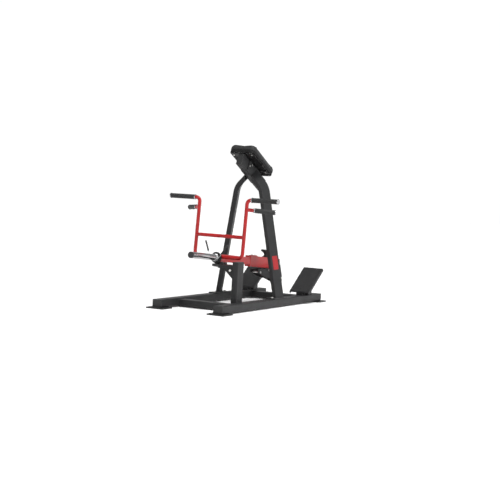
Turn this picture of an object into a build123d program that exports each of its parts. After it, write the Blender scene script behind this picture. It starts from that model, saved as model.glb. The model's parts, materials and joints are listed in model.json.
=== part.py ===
from build123d import *
import math
import os

os.makedirs("parts", exist_ok=True)

# ---------------------------------------------------------------- sizes (mm)
# X is across the machine, -Y is the weight end, +Y the foot end, Z is up.
FRONT = -876.0          # front end of both floor rails
RAIL_LENGTH = 1752.0
RAIL_SPREAD = 268.0     # centre line of each rail from the middle of the machine
RAIL_WIDTH = 80.0
RAIL_HEIGHT = 60.0
TUBE_WALL = 3.0
CAP_SKIN = 4.0          # plastic plate of an end cap
FOOT_RUBBER = 4.0
FOOT_STEEL = 6.0
FOOT_WIDTH = 150.0
FOOT_LENGTH = 150.0
FOOT_OVERHANG = 40.0    # floor plate past the end of its rail
FOOT_HOLE = 13.0
FOOT_HOLE_X = 120.0     # hole spacing across
FOOT_HOLE_Y = 110.0     # hole spacing along
BASE_Z = FOOT_RUBBER + FOOT_STEEL
RAIL_TOP = BASE_Z + RAIL_HEIGHT

CROSSBAR_DEPTH = 100.0
CROSSBAR_HEIGHT = 50.0
FRONT_BAR_AT = 254.0    # from the rail ends to the crossbar
REAR_BAR_AT = 1465.0

TUBE_NARROW = 50.0      # rectangular frame tube
TUBE_DEEP = 100.0
TUBE_CORNER = 6.0

LEG_FOOT_X = 279.0      # leg centre line at the rail top
LEG_FOOT_Y = FRONT + 980.0
LEG_KNEE_X = 120.0
LEG_KNEE_Z = 970.0
LEG_BEND = 150.0        # centre line radius of the knee
LEG_LEAN = 3.8          # degrees, towards the weight end
LEG_NARROW = 40.0
LEG_DEEP = 94.0
LEG_TURN = 18.0         # degrees the legs' section is turned about its own line
LEG_PLATE_Y = FRONT + 975.0
LEG_TOP_ANGLE = 45.0
LEG_PLATE_LENGTH = 230.0
LEG_PLATE_THICK = 8.0
LEG_BOLT_SPACING = 178.0

PAD_WIDTH = 236.0
PAD_LENGTH = 414.0
PAD_THICK = 58.0
PAD_CORNER = 42.0
PAD_TILT = 27.0         # degrees below level, towards the foot end
PAD_TOP_Y = FRONT + 729.0
PAD_TOP_Z = 1260.0      # underside of the cushion at its upper edge
BOARD_THICK = 18.0
BOARD_INSET = 5.0
PAD_STRAP = 6.0         # steel straps between board and beam
PAD_STRAP_WIDTH = 45.0
PAD_STRAP_AT = (48.0, 336.0)
PAD_BOLT_X = 80.0
BEAM_FROM = 24.0        # beam ends, measured down the pad from its upper edge
BEAM_TO = 466.0
FLANGE_THICK = 6.0

POST_BACK = FRONT + 454.0
POST_TOP = 380.0
SHELF_TOP = 350.0
SHELF_THICK = 19.0
SHELF_REACH = -30.0
SHELF_BACK = FRONT + 476.0

PIVOT_Y = FRONT + 1430.0
PIVOT_Z = 318.0
ARM_TILT = 4.6          # degrees, weight end higher than the pivot at rest
ARM_FRONT = 1008.0      # from pivot to front of beam
ARM_JOINT = 487.0       # where the shallow front beam meets the deep rear beam
ARM_TAIL = 45.0
JOINT_PLATE = 6.0
ARM_DEEP = 90.0
ARM_SHALLOW = 60.0
HUB_R = 24.0
HUB_HALF = 28.5
BUSH_R = 17.0
SHAFT_R = 12.5
RUN_FIT = 0.05          # radial running clearance
SIDE_PLATE = 8.0
COLUMN = 60.0
COLUMN_Y = FRONT + 1465.0
COLUMN_TOP = 232.0

FRAME_AT = 993.0        # handle frame plane, from the pivot along the arm
FRAME_TUBE_R = 14.3
FRAME_HALF = 213.0
FRAME_LOW = 8.0         # lower tube above the arm centre line
FRAME_CROSS = 172.0
FRAME_HIGH = 466.0
FRAME_BEND = 34.0
GRIP_R = 19.0
UPPER_GRIP_FROM = 258.0
UPPER_GRIP_TO = 478.0
LOWER_GRIP_UP = 390.0
LOWER_GRIP_SWEEP = 41.0     # degrees back from straight sideways
LOWER_GRIP_FROM = 62.0
LOWER_GRIP_TO = 226.0
RING = 6.0
END_CAP = 9.0

HORN_R = 25.0
HORN_FROM = 1030.0
HORN_TO = 1406.0
SLEEVE_GROOVE = 1076.0      # ring mark where the parked collar ends
HORN_CAP = 15.0
HORN_FLANGE_R = 42.0
COLLAR_WIRE_R = 2.75
COLLAR_COIL_R = HORN_R + 0.08 + COLLAR_WIRE_R
COLLAR_GRIP_R = 6.4
COLLAR_FROM = 1036.0
COLLAR_TURNS = 4
COLLAR_PITCH = 6.4
COLLAR_REAR_ANGLE = -33.0   # degrees round the horn where each leg leaves the coil
COLLAR_FRONT_ANGLE = 202.0
COLLAR_REAR_LEG = (52.0, 137.0)    # bare wire, then whole leg
COLLAR_FRONT_LEG = (62.0, 144.0)

FOOT_PLATE_TILT = 36.7
FOOT_PLATE_Y = FRONT + 1393.0
FOOT_PLATE_Z = 102.0
FOOT_PLATE_LENGTH = 328.0
FOOT_PLATE_X = 262.0
FOOT_PLATE_WIDTH = 180.0
MAT_THICK = 6.0
SHEET = 5.0
FOOT_SCREWS = (34.0, 206.0)
FOOT_SUPPORT_Y = FRONT + 1562.0


# ---------------------------------------------------------------- helpers
def save(shape, node):
    """Write one node's shape to its own STEP file."""
    shape.label = node
    export_step(shape, os.path.join("parts", node + ".step"))


def block(x0, x1, y0, y1, z0, z1):
    """Solid box between two corners."""
    size = Box(x1 - x0, y1 - y0, z1 - z0)
    return Pos((x0 + x1) / 2, (y0 + y1) / 2, (z0 + z1) / 2) * size


def tube_along(axis, length, wide, tall, wall, corner):
    """Rounded hollow tube starting at the origin and running along one axis."""
    outer = RectangleRounded(wide, tall, corner)
    inner = RectangleRounded(wide - 2 * wall, tall - 2 * wall, max(corner - wall, 0.6))
    plane = {
        "x": Plane(origin=(0, 0, 0), x_dir=(0, 1, 0), z_dir=(1, 0, 0)),
        "y": Plane(origin=(0, 0, 0), x_dir=(-1, 0, 0), z_dir=(0, 1, 0)),
        "z": Plane(origin=(0, 0, 0), x_dir=(1, 0, 0), z_dir=(0, 0, 1)),
    }[axis]
    return extrude(plane * (outer - inner), amount=length)


def rod(axis, radius, length, x, y, z):
    """Round bar centred on a point, lying along one axis."""
    turn = {"x": Rot(0, 90, 0), "y": Rot(90, 0, 0), "z": Rot(0, 0, 0)}[axis]
    return Pos(x, y, z) * turn * Cylinder(radius, length)


def hex_bolt(size, shank, head_across, head_tall):
    """Hexagon bolt, underside of the head at the origin, shank pointing down."""
    head = extrude(RegularPolygon(head_across / 2, 6, major_radius=False), amount=head_tall)
    head = chamfer(head.edges().group_by(Axis.Z)[-1], 0.8)
    body = Pos(0, 0, -shank / 2) * Cylinder(size / 2, shank)
    return head + body


def hex_nut(size, across, tall):
    """Hexagon nut standing on the origin."""
    nut = extrude(RegularPolygon(across / 2, 6, major_radius=False), amount=tall)
    return nut - Pos(0, 0, tall / 2) * Cylinder(size / 2 + 0.05, tall * 2)


def mirrored(shape):
    """The same shape on the other side of the machine."""
    return mirror(shape, about=Plane.YZ)


def pair(shape):
    """A shape and its mirror image as separate solids."""
    return Compound(children=[shape, mirrored(shape)])


def pad_frame(x, along, up):
    """Place in the pad's own frame: down the pad, and square up from it."""
    return Pos(0, PAD_TOP_Y, PAD_TOP_Z) * Rot(-PAD_TILT, 0, 0) * Pos(x, along, up)


def arm_frame(x, forward, up):
    """Place in the arm's own frame: forward from the pivot, and up from it."""
    return Pos(0, PIVOT_Y, PIVOT_Z) * Rot(-ARM_TILT, 0, 0) * Pos(x, -forward, up)


def foot_frame(x, along, up):
    """Place in a foot plate's own frame, starting at its lower edge."""
    return Pos(0, FOOT_PLATE_Y, FOOT_PLATE_Z) * Rot(FOOT_PLATE_TILT, 0, 0) * Pos(x, along, up)


# ---------------------------------------------------------------- base
def foot_centres():
    """Centres of the four floor plates."""
    near = FRONT - FOOT_OVERHANG + FOOT_LENGTH / 2
    far = FRONT + RAIL_LENGTH + FOOT_OVERHANG - FOOT_LENGTH / 2
    return [(x, y) for x in (-RAIL_SPREAD, RAIL_SPREAD) for y in (near, far)]


def foot_slab(thick, z0):
    """Four drilled slabs under the rail ends."""
    slabs = []
    for x, y in foot_centres():
        slab = extrude(RectangleRounded(FOOT_WIDTH, FOOT_LENGTH, 10), amount=thick)
        for dx in (-FOOT_HOLE_X / 2, FOOT_HOLE_X / 2):
            for dy in (-FOOT_HOLE_Y / 2, FOOT_HOLE_Y / 2):
                slab -= Pos(dx, dy, thick / 2) * Cylinder(FOOT_HOLE / 2, thick * 3)
        slabs.append(Pos(x, y, z0) * slab)
    return Compound(children=slabs)


def rail(side):
    """Floor rail with the two leg bolt holes in its top wall."""
    length = RAIL_LENGTH - 2 * CAP_SKIN
    tube = tube_along("y", length, RAIL_WIDTH, RAIL_HEIGHT, TUBE_WALL, TUBE_CORNER)
    x = side * RAIL_SPREAD
    tube = Pos(x, FRONT + CAP_SKIN, BASE_Z + RAIL_HEIGHT / 2) * tube
    for dy in (-LEG_BOLT_SPACING / 2, LEG_BOLT_SPACING / 2):
        tube -= rod("z", 6.5, 20, x, LEG_PLATE_Y + dy, RAIL_TOP)
    return tube


def end_plug(wide, tall, wall):
    """Plastic end cap, a skin with a hollow spigot; it faces -Y and fits a tube from y 0."""
    skin = extrude(Plane.XZ * RectangleRounded(wide, tall, TUBE_CORNER), amount=CAP_SKIN)
    skin = fillet(skin.edges().group_by(Axis.Y)[0], 1.5)
    across = wide - 2 * wall - 0.4
    up = tall - 2 * wall - 0.4
    spigot = RectangleRounded(across, up, 3) - RectangleRounded(across - 6, up - 6, 1.5)
    return skin + extrude(Plane.XZ.offset(-22) * spigot, amount=22)


def rail_end_caps():
    """Four plastic caps, one in each rail end."""
    z = BASE_Z + RAIL_HEIGHT / 2
    plug = end_plug(RAIL_WIDTH, RAIL_HEIGHT, TUBE_WALL)
    caps = []
    for x in (-RAIL_SPREAD, RAIL_SPREAD):
        caps.append(Pos(x, FRONT + CAP_SKIN, z) * plug)
        caps.append(Pos(x, FRONT + RAIL_LENGTH - CAP_SKIN, z) * Rot(0, 0, 180) * plug)
    return Compound(children=caps)


def crossbar(at):
    """Flat tube joining the two rails."""
    inner = RAIL_SPREAD - RAIL_WIDTH / 2
    tube = tube_along("x", 2 * inner, CROSSBAR_DEPTH, CROSSBAR_HEIGHT, TUBE_WALL, TUBE_CORNER)
    return Pos(-inner, FRONT + at + CROSSBAR_DEPTH / 2, BASE_Z + CROSSBAR_HEIGHT / 2) * tube


# ---------------------------------------------------------------- legs and pad
def leg_tilt():
    """Lean of the right leg's lower length towards the middle, in radians."""
    return math.atan2(LEG_FOOT_X + 7 - LEG_KNEE_X, LEG_KNEE_Z - RAIL_TOP + 40)


def leg_section_axes():
    """Direction of the leg's deep side and of its outer face, before the leg leans forward."""
    tilt = leg_tilt()
    turn = math.radians(LEG_TURN)
    outward = Vector(math.cos(tilt), 0, math.sin(tilt))
    rearward = Vector(0, 1, 0)
    deep = rearward * math.cos(turn) + outward * math.sin(turn)
    face = outward * math.cos(turn) - rearward * math.sin(turn)
    return deep, face


def leg_place():
    """Stands the leg on its rail and leans it towards the weight end."""
    return Pos(0, LEG_FOOT_Y, RAIL_TOP) * Rot(LEG_LEAN, 0, 0) * Pos(0, 0, -RAIL_TOP)


def leg_solid(wall_in):
    """Right leg, bent inwards at the knee, as a solid reduced by wall_in on each face."""
    foot = (LEG_FOOT_X + 7, 0, RAIL_TOP - 40)
    knee = (LEG_KNEE_X, 0, LEG_KNEE_Z)
    reach = 170.0
    turn = math.radians(LEG_TOP_ANGLE)
    tip = (LEG_KNEE_X - reach * math.cos(turn), 0, LEG_KNEE_Z + reach * math.sin(turn))
    path = FilletPolyline(foot, knee, tip, radius=LEG_BEND)
    start = Plane(origin=path @ 0, x_dir=leg_section_axes()[0], z_dir=path % 0)
    face = RectangleRounded(LEG_DEEP - 2 * wall_in, LEG_NARROW - 2 * wall_in, TUBE_CORNER - wall_in)
    return sweep(start * face, path=path)


def right_leg():
    """Hollow bent leg trimmed to its base plate and to the beam flange."""
    hollow = leg_solid(0.0) - leg_solid(TUBE_WALL)
    hollow = leg_place() * hollow
    low = RAIL_TOP + LEG_PLATE_THICK
    side = TUBE_NARROW / 2 + FLANGE_THICK
    hollow -= block(-200, 700, FRONT, FRONT + 1700, -200, low)
    hollow -= block(-300, side, FRONT, FRONT + 1700, 500, 1500)
    return hollow


def leg_base_plate():
    """Plate welded under the right leg, bolted to the rail."""
    x = RAIL_SPREAD
    half = LEG_PLATE_LENGTH / 2
    top = RAIL_TOP + LEG_PLATE_THICK
    plate = block(x - 40, x + 40, LEG_PLATE_Y - half, LEG_PLATE_Y + half, RAIL_TOP, top)
    for dy in (-LEG_BOLT_SPACING / 2, LEG_BOLT_SPACING / 2):
        plate -= rod("z", 6.5, 40, x, LEG_PLATE_Y + dy, RAIL_TOP)
    return plate


def leg_base_fasteners():
    """Four bolts through the base plates, with nuts under the rails' top walls."""
    top = RAIL_TOP + LEG_PLATE_THICK
    out = []
    for x in (-RAIL_SPREAD, RAIL_SPREAD):
        for dy in (-LEG_BOLT_SPACING / 2, LEG_BOLT_SPACING / 2):
            out.append(Pos(x, LEG_PLATE_Y + dy, top) * hex_bolt(12, 30, 19, 8))
            out.append(Pos(x, LEG_PLATE_Y + dy, RAIL_TOP - TUBE_WALL - 10) * hex_nut(12, 19, 10))
    return Compound(children=out)


def beam_top():
    """Height of the pad beam's upper face in the pad's frame."""
    return -BOARD_THICK - PAD_STRAP


FLANGE_BOLTS = ((-94, 4), (-60, 28), (102, -34))
FLANGE_MID = 4.0
FLANGE_LENGTH = 224.0
FLANGE_ALONG = 238.0


def flange_frame(du, dv):
    """A point on the beam's side, from the middle of the leg flange."""
    return pad_frame(0, FLANGE_ALONG + du, beam_top() - TUBE_DEEP / 2 + dv)


def pad_beam():
    """Tube under the pad, drilled across for the leg flanges."""
    tube = tube_along("y", BEAM_TO - BEAM_FROM, TUBE_NARROW, TUBE_DEEP, TUBE_WALL, TUBE_CORNER)
    tube = pad_frame(0, BEAM_FROM, beam_top() - TUBE_DEEP / 2) * tube
    for du, dv in FLANGE_BOLTS:
        tube -= flange_frame(du, dv) * Rot(0, 90, 0) * Cylinder(4.25, 200)
    return tube


def pad_beam_caps():
    """Plastic caps in both ends of the pad beam."""
    plug = end_plug(TUBE_NARROW, TUBE_DEEP, TUBE_WALL)
    mid = beam_top() - TUBE_DEEP / 2
    upper = pad_frame(0, BEAM_FROM, mid) * plug
    lower = pad_frame(0, BEAM_TO, mid) * Rot(0, 0, 180) * plug
    return [upper, lower]


def leg_flange():
    """Plate on the upper end of the right leg, bolted to the beam's side."""
    plate = Box(FLANGE_THICK, FLANGE_LENGTH, 92)
    plate = fillet(plate.edges().filter_by(Axis.X), 8)
    plate = flange_frame(FLANGE_MID, 0) * Pos(TUBE_NARROW / 2 + FLANGE_THICK / 2, 0, 0) * plate
    for du, dv in FLANGE_BOLTS:
        plate -= flange_frame(du, dv) * Rot(0, 90, 0) * Cylinder(4.25, 200)
    return plate


def flange_fasteners():
    """Long bolts through both flanges and the beam, with their nuts."""
    half = TUBE_NARROW / 2 + FLANGE_THICK
    out = []
    for du, dv in FLANGE_BOLTS:
        place = flange_frame(du, dv)
        out.append(place * Pos(half, 0, 0) * Rot(0, 90, 0) * hex_bolt(8, 2 * half + 10, 13, 5.5))
        out.append(place * Pos(-half, 0, 0) * Rot(0, -90, 0) * hex_nut(8, 13, 6.5))
    return Compound(children=out)


def pad_straps():
    """Two steel straps across the beam that carry the pad board."""
    straps = []
    for along in PAD_STRAP_AT:
        strap = Box(2 * PAD_BOLT_X + 40, PAD_STRAP_WIDTH, PAD_STRAP)
        strap = fillet(strap.edges().filter_by(Axis.Z), 10)
        for x in (-PAD_BOLT_X, PAD_BOLT_X):
            strap -= Pos(x, 0, 0) * Cylinder(4.5, 20)
        straps.append(pad_frame(0, along, -BOARD_THICK - PAD_STRAP / 2) * strap)
    return Compound(children=straps)


def pad_board():
    """Plywood board under the cushion, with blind holes for the pad bolts."""
    wide = PAD_WIDTH - 2 * BOARD_INSET
    long = PAD_LENGTH - 2 * BOARD_INSET
    face = RectangleRounded(wide, long, PAD_CORNER - BOARD_INSET)
    board = pad_frame(0, PAD_LENGTH / 2, -BOARD_THICK) * extrude(face, amount=BOARD_THICK)
    for along in PAD_STRAP_AT:
        for x in (-PAD_BOLT_X, PAD_BOLT_X):
            board -= pad_frame(x, along, -BOARD_THICK) * Cylinder(4.1, 24)
    return board


def chest_pad():
    """Upholstered cushion as one plain solid with rounded edges."""
    face = RectangleRounded(PAD_WIDTH, PAD_LENGTH, PAD_CORNER)
    pad = extrude(face, amount=PAD_THICK)
    pad = fillet(pad.edges().group_by(Axis.Z)[-1], 16)
    pad = fillet(pad.edges().group_by(Axis.Z)[0], 5)
    return pad_frame(0, PAD_LENGTH / 2, 0) * pad


def pad_bolts():
    """Bolts from below through the straps into the board."""
    bolts = []
    for along in PAD_STRAP_AT:
        for x in (-PAD_BOLT_X, PAD_BOLT_X):
            place = pad_frame(x, along, -BOARD_THICK - PAD_STRAP) * Rot(180, 0, 0)
            bolts.append(place * hex_bolt(8, PAD_STRAP + 11, 13, 5.5))
    return Compound(children=bolts)


def leg_labels():
    """Plain label plate on the outer face of the right leg."""
    z = 358.0
    x = LEG_KNEE_X + (LEG_KNEE_Z - z) * math.tan(leg_tilt())
    deep, face = leg_section_axes()
    spot = Plane(origin=Vector(x, 0, z) + face * (LEG_NARROW / 2 + 0.02), x_dir=deep, z_dir=face)
    plate = extrude(RectangleRounded(56, 112, 5), amount=0.8)
    return leg_place() * spot.location * plate


# ---------------------------------------------------------------- rest post
def post_x():
    """Inner and outer face of the post, which stands against the right rail."""
    outer = RAIL_SPREAD - RAIL_WIDTH / 2
    return outer - TUBE_NARROW, outer


def rest_post():
    """Upright tube that carries the arm's rest."""
    x0, x1 = post_x()
    tube = tube_along("z", POST_TOP - CAP_SKIN - BASE_Z, TUBE_NARROW, TUBE_DEEP, TUBE_WALL, TUBE_CORNER)
    return Pos((x0 + x1) / 2, POST_BACK - TUBE_DEEP / 2, BASE_Z) * tube


def post_cap():
    """Plastic cap on the post."""
    x0, x1 = post_x()
    plug = end_plug(TUBE_NARROW, TUBE_DEEP, TUBE_WALL)
    return Pos((x0 + x1) / 2, POST_BACK - TUBE_DEEP / 2, POST_TOP - CAP_SKIN) * Rot(-90, 0, 0) * plug


def rest_shelf():
    """Thick steel shelf reaching from the post to under the arm."""
    x0 = post_x()[0]
    front = POST_BACK - TUBE_DEEP
    outline = Polyline(
        (x0, front), (60, front), (SHELF_REACH, front + 50),
        (SHELF_REACH, SHELF_BACK), (x0, SHELF_BACK), (x0, front),
    )
    plate = extrude(make_face(outline), amount=SHELF_THICK)
    plate = Pos(0, 0, SHELF_TOP - SHELF_THICK) * plate
    return plate - rod("z", 4.2, 60, 0, FRONT + 452, SHELF_TOP)


def shelf_gusset():
    """Plate brace under the shelf, flush with the post's front face."""
    x0 = post_x()[0]
    under = SHELF_TOP - SHELF_THICK
    outline = Polyline(
        (x0, 0, under), (48, 0, under), (48, 0, under - 5), (108, 0, under - 14),
        (x0, 0, under - 78), (x0, 0, under),
    )
    plate = extrude(make_face(outline), amount=8, dir=(0, 1, 0))
    plate = Pos(0, POST_BACK - TUBE_DEEP, 0) * plate
    return plate - rod("y", 5.2, 60, x0 - 16, POST_BACK - TUBE_DEEP, under - 18)


def gusset_fastener():
    """Bolt and nut through the gusset."""
    x0 = post_x()[0]
    front = POST_BACK - TUBE_DEEP
    z = SHELF_TOP - SHELF_THICK - 18
    bolt = Pos(x0 - 16, front, z) * Rot(90, 0, 0) * hex_bolt(10, 20, 17, 7)
    nut = Pos(x0 - 16, front + 8, z) * Rot(-90, 0, 0) * hex_nut(10, 17, 8)
    return [bolt, nut]


def rest_bumper():
    """Rubber block on the shelf, its top cut to the slope of the resting arm."""
    bump = block(-22, 22, FRONT + 432, FRONT + 472, SHELF_TOP, SHELF_TOP + 40)
    bump -= arm_frame(0, ARM_FRONT - 60, -ARM_SHALLOW / 2 + 99.7) * Box(200, 400, 200)
    return bump - rod("z", 4.2, 30, 0, FRONT + 452, SHELF_TOP - 7)


def bumper_screw():
    """Screw that holds the bumper down from under the shelf."""
    z = SHELF_TOP - SHELF_THICK
    return Pos(0, FRONT + 452, z) * Rot(180, 0, 0) * hex_bolt(8, SHELF_THICK + 6, 13, 5.5)


def rest_fasteners():
    """The gusset's bolt and nut, and the bumper's screw."""
    return Compound(children=gusset_fastener() + [bumper_screw()])


# ---------------------------------------------------------------- pivot stand
COLUMN_BOLTS = (150.0, 194.0)
SPACER_POINTS = ((1099.0, 259.0), (1253.0, 272.0))


def pivot_column():
    """Short upright on the rear crossbar between the side plates."""
    low = BASE_Z + CROSSBAR_HEIGHT
    tube = tube_along("z", COLUMN_TOP - low - CAP_SKIN, COLUMN, COLUMN, TUBE_WALL, TUBE_CORNER)
    tube = Pos(0, COLUMN_Y + COLUMN / 2, low) * tube
    for z in COLUMN_BOLTS:
        tube -= rod("x", 6.25, 200, 0, COLUMN_Y + COLUMN / 2, z)
    return tube


def column_cap():
    """Plastic cap on the column."""
    plug = end_plug(COLUMN, COLUMN, TUBE_WALL)
    return Pos(0, COLUMN_Y + COLUMN / 2, COLUMN_TOP - CAP_SKIN) * Rot(-90, 0, 0) * plug


def pivot_side_plate():
    """Right side plate: pivot eye, foot on the column and a long toe under the arm."""
    pts = [
        (1060, 285), (1345, 285), (1388, 350), (1450, 350), (1474, 300), (1500, 236),
        (1514, 200), (1514, 128), (1465, 128), (1440, 160), (1310, 198), (1253, 200),
        (1138, 230), (1062, 258),
    ]
    outline = [(0, FRONT + y, z) for y, z in pts]
    face = make_face(Polyline(*outline, outline[0]))
    plate = extrude(face, amount=SIDE_PLATE, dir=(1, 0, 0))
    plate = fillet(plate.edges().filter_by(Axis.X), 9)
    plate = Pos(COLUMN / 2, 0, 0) * plate
    plate -= rod("x", SHAFT_R + 0.02, 300, 0, PIVOT_Y, PIVOT_Z)
    for z in COLUMN_BOLTS:
        plate -= rod("x", 6.25, 200, 0, COLUMN_Y + COLUMN / 2, z)
    for y, z in SPACER_POINTS:
        plate -= rod("x", 5.25, 200, 0, FRONT + y, z)
    return plate


def stand_fasteners():
    """Bolts and nuts through the column and through the spacers."""
    half = COLUMN / 2 + SIDE_PLATE
    out = []
    for z in COLUMN_BOLTS:
        y = COLUMN_Y + COLUMN / 2
        out.append(Pos(half, y, z) * Rot(0, 90, 0) * hex_bolt(12, 2 * half + 14, 19, 8))
        out.append(Pos(-half, y, z) * Rot(0, -90, 0) * hex_nut(12, 19, 10))
    for y, z in SPACER_POINTS:
        out.append(Pos(half, FRONT + y, z) * Rot(0, 90, 0) * hex_bolt(10, 2 * half + 12, 17, 7))
        out.append(Pos(-half, FRONT + y, z) * Rot(0, -90, 0) * hex_nut(10, 17, 8))
    return Compound(children=out)


def tube_plugs():
    """Plastic caps of the pad beam, the rest post and the pivot column."""
    return Compound(children=pad_beam_caps() + [post_cap(), column_cap()])


def toe_spacers():
    """Tubes that keep the two side plates apart under the arm."""
    tubes = []
    for y, z in SPACER_POINTS:
        tube = rod("x", 8.0, COLUMN, 0, FRONT + y, z) - rod("x", 5.25, COLUMN + 2, 0, FRONT + y, z)
        tubes.append(tube)
    return Compound(children=tubes)


def pivot_shaft():
    """Fixed shaft through both side plates, grooved at its ends."""
    half = COLUMN / 2 + SIDE_PLATE + 9
    shaft = rod("x", SHAFT_R, 2 * half, 0, PIVOT_Y, PIVOT_Z)
    shaft = chamfer(shaft.edges(), 1.0)
    for side in (-1, 1):
        ring = rod("x", SHAFT_R + 1, 1.9, side * (half - 5), PIVOT_Y, PIVOT_Z)
        ring -= rod("x", SHAFT_R - 1.3, 4, side * (half - 5), PIVOT_Y, PIVOT_Z)
        shaft -= ring
    return shaft


def shaft_retainers():
    """Spring clips in the shaft's end grooves, with a washer inside each."""
    inside = COLUMN / 2 + SIDE_PLATE
    at = inside + 9 - 5
    clip = rod("x", SHAFT_R + 4, 1.75, at, PIVOT_Y, PIVOT_Z)
    clip -= rod("x", SHAFT_R - 1.25, 4, at, PIVOT_Y, PIVOT_Z)
    clip -= block(0, 100, PIVOT_Y - 5, PIVOT_Y + 5, PIVOT_Z, PIVOT_Z + 40)
    washer = rod("x", SHAFT_R + 8, 3.0, inside + 1.5, PIVOT_Y, PIVOT_Z)
    washer -= rod("x", SHAFT_R + 0.3, 30, inside, PIVOT_Y, PIVOT_Z)
    return Compound(children=[clip, mirrored(clip), washer, mirrored(washer)])


# ---------------------------------------------------------------- lever arm
def arm_rear():
    """Deep rear beam closed by a welded front plate, pierced by the pivot hub."""
    length = ARM_JOINT + ARM_TAIL - CAP_SKIN
    tube = tube_along("y", length, TUBE_NARROW, ARM_DEEP, TUBE_WALL, TUBE_CORNER)
    tube += extrude(Plane.XZ * RectangleRounded(TUBE_NARROW, ARM_DEEP, TUBE_CORNER), amount=JOINT_PLATE)
    tube = arm_frame(0, ARM_JOINT, 0) * tube
    return tube - rod("x", HUB_R, 300, 0, PIVOT_Y, PIVOT_Z)


def arm_tail_cap():
    """Plastic cap on the rear end of the arm."""
    plug = end_plug(TUBE_NARROW, ARM_DEEP, TUBE_WALL)
    spot = arm_frame(0, -(ARM_TAIL - CAP_SKIN), 0) * Rot(0, 0, 180)
    return spot * (plug - block(-60, 60, 12, 60, -60, 60))


def arm_front():
    """Shallow front beam that ends at the horn flange."""
    length = ARM_FRONT - ARM_JOINT - JOINT_PLATE
    tube = tube_along("y", length, TUBE_NARROW, ARM_SHALLOW, TUBE_WALL, TUBE_CORNER)
    return arm_frame(0, ARM_FRONT, 0) * tube


def arm_lug():
    """Raised pad on top of the rear beam."""
    top = ARM_DEEP / 2
    pad = fillet(Box(34, 96, 6).edges().filter_by(Axis.Z), 8)
    return arm_frame(0, 400, top + 3) * pad


def arm_lug_bolts():
    """Two short screws on the raised pad."""
    top = ARM_DEEP / 2 + 6
    spots = [arm_frame(0, at, top) for at in (372, 428)]
    return Compound(children=[spot * extrude(RegularPolygon(8.5, 6), amount=6) for spot in spots])


def arm_hub():
    """Tube welded through the arm that holds the bushes."""
    outer = rod("x", HUB_R, 2 * HUB_HALF, 0, PIVOT_Y, PIVOT_Z)
    return outer - rod("x", BUSH_R, 200, 0, PIVOT_Y, PIVOT_Z)


def pivot_bushes():
    """Two bronze bushes pressed into the hub, running on the shaft."""
    length = 22.0
    centre = HUB_HALF - length / 2
    bush = rod("x", BUSH_R, length, centre, PIVOT_Y, PIVOT_Z)
    bush -= rod("x", SHAFT_R + RUN_FIT, 60, centre, PIVOT_Y, PIVOT_Z)
    return pair(bush)


def thrust_washers():
    """Thin washers between the hub and the side plates."""
    inside = HUB_HALF + 0.05
    outside = COLUMN / 2 - 0.15
    washer = rod("x", HUB_R - 2, outside - inside, (inside + outside) / 2, PIVOT_Y, PIVOT_Z)
    washer -= rod("x", SHAFT_R + 0.4, 20, (inside + outside) / 2, PIVOT_Y, PIVOT_Z)
    return pair(washer)


def band_peg():
    """Spool-shaped peg standing on the arm: flange, waist and flared head."""
    base = ARM_DEEP / 2
    profile = Polyline(
        (0, base), (28, base), (28, base + 7), (18, base + 12), (16, base + 24), (20, base + 34),
        (36, base + 46), (44, base + 52), (44, base + 60), (38, base + 64), (0, base + 64), (0, base),
    )
    face = make_face(Plane.XZ * profile)
    peg = revolve(face, axis=Axis.Z)
    return arm_frame(0, 178, 0) * peg


# ---------------------------------------------------------------- handle frame
def frame_side():
    """Right half of the handle frame: lower tube, upright and upper handle in one bent tube."""
    start = (TUBE_NARROW / 2, 0, FRAME_LOW)
    low = (FRAME_HALF, 0, FRAME_LOW)
    high = (FRAME_HALF, 0, FRAME_HIGH)
    tip = (UPPER_GRIP_TO, 0, FRAME_HIGH)
    path = FilletPolyline(start, low, high, tip, radius=FRAME_BEND)
    plane = Plane(origin=path @ 0, x_dir=(0, 1, 0), z_dir=path % 0)
    outer = sweep(plane * Circle(FRAME_TUBE_R), path=path)
    inner = sweep(plane * Circle(FRAME_TUBE_R - 2.6), path=path)
    return arm_frame(0, FRAME_AT, 0) * (outer - inner)


def frame_crossbar():
    """Straight tube between the uprights, coped onto them."""
    bar = Rot(0, 90, 0) * Cylinder(FRAME_TUBE_R - 0.3, 2 * FRAME_HALF)
    bar -= Rot(0, 90, 0) * Cylinder(FRAME_TUBE_R - 3, 3 * FRAME_HALF)
    bar = Pos(0, 0, FRAME_CROSS) * bar
    for side in (-1, 1):
        bar -= Pos(side * FRAME_HALF, 0, FRAME_CROSS) * Cylinder(FRAME_TUBE_R, 200)
    return arm_frame(0, FRAME_AT, 0) * bar


def upper_frame(along):
    """Place on the right upper handle, tube axis turned to local Z."""
    return arm_frame(along, FRAME_AT, FRAME_HIGH) * Rot(0, 90, 0)


def lower_frame(along):
    """Place on the right lower handle, tube axis turned to local Z."""
    base = arm_frame(FRAME_HALF, FRAME_AT, LOWER_GRIP_UP)
    return base * Rot(0, 0, LOWER_GRIP_SWEEP) * Pos(along, 0, 0) * Rot(0, 90, 0)


def lower_handle():
    """Right lower handle tube, coped onto the upright."""
    length = LOWER_GRIP_TO
    bar = Pos(0, 0, length / 2) * Cylinder(FRAME_TUBE_R - 0.3, length)
    bar -= Pos(0, 0, length / 2) * Cylinder(FRAME_TUBE_R - 3, length * 2)
    bar = lower_frame(0) * bar
    return bar - arm_frame(FRAME_HALF, FRAME_AT, LOWER_GRIP_UP) * Cylinder(FRAME_TUBE_R, 200)


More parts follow.
